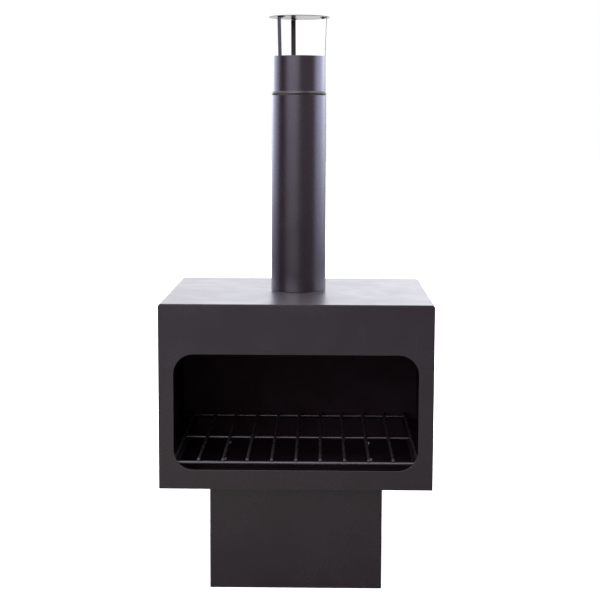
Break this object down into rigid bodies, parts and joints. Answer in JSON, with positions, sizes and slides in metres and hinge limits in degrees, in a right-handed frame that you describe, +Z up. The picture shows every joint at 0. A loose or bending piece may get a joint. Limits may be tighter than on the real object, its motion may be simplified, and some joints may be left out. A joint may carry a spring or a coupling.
{
  "type": "chiminea",
  "caption": "Sheet-steel garden chiminea: wide firebox with an open round-cornered mouth and rod grate on a plain pedestal, with a round flue and a lift-off cowl with a flat rain disc.",
  "frame": {"origin": "on the ground under the middle of the firebox: centre of the bounding box's underside", "axes": "+Z up along the flue; -Y out of the firebox mouth; +X to the right for someone who faces the mouth"},
  "size_m": [0.6, 0.55, 1.277],
  "materials": {
    "paint": "semi-gloss black heat-resistant paint on smooth steel sheet",
    "soot_paint": "the same black paint, matt and sooty inside the firebox",
    "rod": "semi-gloss black painted round rod, welded",
    "zinc": "zinc-plated steel",
    "rivet": "black painted steel rivet"
  },
  "bodies": {
    "stove": {"firebox_wrap": "paint", "front_panel": "paint", "back_panel": "paint", "floor_panel": "soot_paint", "flue_spigot": "soot_paint", "left_grate_ledge": "soot_paint", "right_grate_ledge": "soot_paint", "pedestal_wrap": "paint", "pedestal_back": "paint", "pedestal_bolts": "zinc", "pedestal_washers": "zinc", "pedestal_nuts": "zinc"},
    "flue": {"lower_flue": "paint"},
    "cowl": {"cowl_sleeve": "paint", "rain_disc": "paint", "right_strap": "paint", "rear_strap": "paint", "left_strap": "paint", "disc_rivets": "rivet"},
    "grate": {"grate_front_rod": "rod", "grate_middle_rod": "rod", "grate_rear_rod": "rod", "grate_bar_1": "rod", "grate_bar_2": "rod", "grate_bar_3": "rod", "grate_bar_4": "rod", "grate_bar_5": "rod", "grate_bar_6": "rod", "grate_bar_7": "rod", "grate_bar_8": "rod", "grate_bar_9": "rod", "grate_bar_10": "rod", "grate_bar_11": "rod"}
  },
  "joints": [
    {"name": "flue_lift", "type": "slide", "parent": "stove", "child": "flue", "axis": [0, 0, 1], "range_m": [0, 0.16]},
    {"name": "cowl_lift", "type": "slide", "parent": "flue", "child": "cowl", "axis": [0, 0, 1], "range_m": [0, 0.16]},
    {"name": "grate_lift", "type": "slide", "parent": "stove", "child": "grate", "axis": [0, 0, 1], "range_m": [0, 0.12]}
  ]
}
